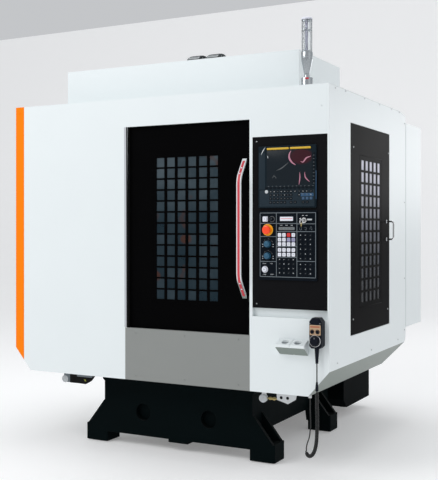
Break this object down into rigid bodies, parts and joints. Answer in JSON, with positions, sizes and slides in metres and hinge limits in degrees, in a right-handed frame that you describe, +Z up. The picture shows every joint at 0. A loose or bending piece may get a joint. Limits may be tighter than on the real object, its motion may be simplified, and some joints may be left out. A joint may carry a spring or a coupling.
{
  "type": "vertical machining center",
  "caption": "Compact vertical machining center with sliding window door, right-hand control panel, hanging handwheel pendant, side service door and rear cabinet.",
  "frame": {"origin": "on the floor, midway between the four anchor holes of the bed", "axes": "+X to the operator's right along the table travel, +Y from the operator to the back, +Z up along the spindle axis"},
  "size_m": [2.15, 2.108, 2.5178],
  "materials": {
    "white_paint": "satin",
    "orange_paint": "satin",
    "grey_paint": "satin",
    "black_paint": "satin",
    "cast_iron": "satin",
    "ground_steel": "ground",
    "stainless": "brushed",
    "chrome": "polished",
    "clear_lens": "clear",
    "smoked_pane": "polished",
    "panel_black": "matt",
    "key_white": "matt",
    "red_plastic": "glossy",
    "blue_plastic": "satin",
    "black_plastic": "satin",
    "cord_rubber": "matt",
    "tank_paint": "satin",
    "zinc": "plated",
    "grey_plastic": "satin"
  },
  "bodies": {
    "machine": {"bed": "cast_iron", "levelling_feet": "zinc", "column": "cast_iron", "way_rails": "ground_steel", "servo_motors": "black_paint", "chip_pan": "stainless", "front_frame": "white_paint", "orange_trim": "orange_paint", "sill_panel": "grey_paint", "right_side_panel": "white_paint", "left_side_panel": "white_paint", "rear_panel": "white_paint", "roof_panel": "white_paint", "upper_cover": "white_paint", "door_tracks": "zinc", "control_plate": "panel_black", "cnc_unit": "panel_black", "operator_panel": "panel_black", "panel_keys": "key_white", "holder_shelf": "white_paint", "pendant_body": "black_plastic", "pendant_cord": "cord_rubber", "pendant_cord_coil": "cord_rubber", "underside_fittings": "zinc", "lamp_body": "chrome", "lamp_lens": "clear_lens", "energy_chains": "grey_plastic", "electrical_cabinet": "white_paint", "drive_units": "grey_plastic", "coolant_tank": "tank_paint"},
    "y_screw": {"y_screw": "ground_steel"},
    "z_screw": {"z_screw": "ground_steel"},
    "x_screw": {"x_screw": "ground_steel"},
    "saddle": {"saddle": "cast_iron", "saddle_covers": "stainless"},
    "front_way_cover": {"front_way_cover": "stainless"},
    "table": {"table": "ground_steel"},
    "spindle_head": {"spindle_head": "white_paint"},
    "spindle": {"spindle": "ground_steel"},
    "drum_carriage": {"drum_carriage": "cast_iron"},
    "tool_drum": {"tool_drum": "ground_steel", "tool_holders": "chrome"},
    "front_door": {"front_door": "black_paint", "front_door_pane": "smoked_pane", "front_door_handle": "white_paint"},
    "side_door": {"side_door": "black_paint", "side_door_pane": "smoked_pane", "side_door_handle": "chrome"},
    "cabinet_door": {"cabinet_door": "white_paint"},
    "main_switch": {"main_switch": "red_plastic"},
    "estop_button": {"estop_button": "red_plastic"},
    "feed_knob": {"feed_knob": "blue_plastic"},
    "speed_knob": {"speed_knob": "blue_plastic"},
    "mode_key": {"mode_key": "chrome"},
    "start_button": {"start_button": "key_white"},
    "power_on_button": {"power_on_button": "key_white"},
    "power_off_button": {"power_off_button": "black_plastic"},
    "pendant_wheel": {"pendant_wheel": "black_plastic"},
    "pendant_axis_knob": {"pendant_axis_knob": "black_plastic"},
    "pendant_step_knob": {"pendant_step_knob": "black_plastic"}
  },
  "joints": [
    {"name": "saddle_slide", "type": "slide", "parent": "machine", "child": "saddle", "axis": [0, 1, 0], "range_m": [-0.2, 0.2]},
    {"name": "y_screw_turn", "type": "hinge", "parent": "machine", "child": "y_screw", "pos_m": [0, -0.44, 0.59], "axis": [0, 1, 0], "range_deg": [-4500, 4500]},
    {"name": "front_way_cover_slide", "type": "slide", "parent": "machine", "child": "front_way_cover", "axis": [0, 1, 0], "range_m": [-0.1, 0.1]},
    {"name": "table_slide", "type": "slide", "parent": "saddle", "child": "table", "axis": [1, 0, 0], "range_m": [-0.35, 0.35]},
    {"name": "x_screw_turn", "type": "hinge", "parent": "saddle", "child": "x_screw", "pos_m": [0, -0.09, 0.705], "axis": [1, 0, 0], "range_deg": [-7875, 7875]},
    {"name": "head_slide", "type": "slide", "parent": "machine", "child": "spindle_head", "axis": [0, 0, 1], "range_m": [-0.3, 0]},
    {"name": "z_screw_turn", "type": "hinge", "parent": "machine", "child": "z_screw", "pos_m": [0, 0.362, 1.194], "axis": [0, 0, 1], "range_deg": [-6750, 0]},
    {"name": "spindle_turn", "type": "hinge", "parent": "spindle_head", "child": "spindle", "pos_m": [0, -0.09, 1.53], "axis": [0, 0, 1], "continuous": true},
    {"name": "drum_carriage_slide", "type": "slide", "parent": "machine", "child": "drum_carriage", "axis": [1, 0, 0], "range_m": [0, 0.32]},
    {"name": "drum_turn", "type": "hinge", "parent": "drum_carriage", "child": "tool_drum", "pos_m": [-0.52, -0.09, 1.235], "axis": [0, 0, 1], "continuous": true},
    {"name": "front_door_slide", "type": "slide", "parent": "machine", "child": "front_door", "axis": [-1, 0, 0], "range_m": [0, 0.7]},
    {"name": "side_door_hinge", "type": "hinge", "parent": "machine", "child": "side_door", "pos_m": [1.043, -0.365, 1.3255], "axis": [0, 0, -1], "range_deg": [0, 110]},
    {"name": "cabinet_door_hinge", "type": "hinge", "parent": "machine", "child": "cabinet_door", "pos_m": [1.031, 1.104, 1.351], "axis": [0, 0, -1], "range_deg": [0, 110]},
    {"name": "main_switch_turn", "type": "hinge", "parent": "cabinet_door", "child": "main_switch", "pos_m": [0.12, 1.094, 1.48], "axis": [0, 1, 0], "range_deg": [0, 90]},
    {"name": "estop_push", "type": "slide", "parent": "machine", "child": "estop_button", "axis": [0, 1, 0], "range_m": [0, 0.004], "stiffness_N_per_m": 3000},
    {"name": "feed_knob_turn", "type": "hinge", "parent": "machine", "child": "feed_knob", "pos_m": [0.702, -0.72, 1.247], "axis": [0, -1, 0], "range_deg": [-150, 150]},
    {"name": "speed_knob_turn", "type": "hinge", "parent": "machine", "child": "speed_knob", "pos_m": [0.702, -0.72, 1.183], "axis": [0, -1, 0], "range_deg": [-120, 120]},
    {"name": "mode_key_turn", "type": "hinge", "parent": "machine", "child": "mode_key", "pos_m": [0.913, -0.72, 1.374], "axis": [0, -1, 0], "range_deg": [0, 90]},
    {"name": "start_push", "type": "slide", "parent": "machine", "child": "start_button", "axis": [0, 1, 0], "range_m": [0, 0.003], "stiffness_N_per_m": 1500},
    {"name": "power_on_push", "type": "slide", "parent": "machine", "child": "power_on_button", "axis": [0, 1, 0], "range_m": [0, 0.003], "stiffness_N_per_m": 1500},
    {"name": "power_off_push", "type": "slide", "parent": "machine", "child": "power_off_button", "axis": [0, 1, 0], "range_m": [0, 0.003], "stiffness_N_per_m": 1500},
    {"name": "pendant_wheel_turn", "type": "hinge", "parent": "machine", "child": "pendant_wheel", "pos_m": [0.992, -0.767, 0.746], "axis": [0, -1, 0], "continuous": true},
    {"name": "pendant_axis_turn", "type": "hinge", "parent": "machine", "child": "pendant_axis_knob", "pos_m": [0.977, -0.767, 0.794], "axis": [0, -1, 0], "range_deg": [-60, 60]},
    {"name": "pendant_step_turn", "type": "hinge", "parent": "machine", "child": "pendant_step_knob", "pos_m": [1.007, -0.767, 0.794], "axis": [0, -1, 0], "range_deg": [-60, 60]}
  ],
  "couplings": [
    {"joint": "y_screw_turn", "follows": "saddle_slide", "rad_per_m": 392.7},
    {"joint": "front_way_cover_slide", "follows": "saddle_slide", "ratio": 0.5},
    {"joint": "x_screw_turn", "follows": "table_slide", "rad_per_m": 392.7},
    {"joint": "z_screw_turn", "follows": "head_slide", "rad_per_m": 392.7}
  ]
}
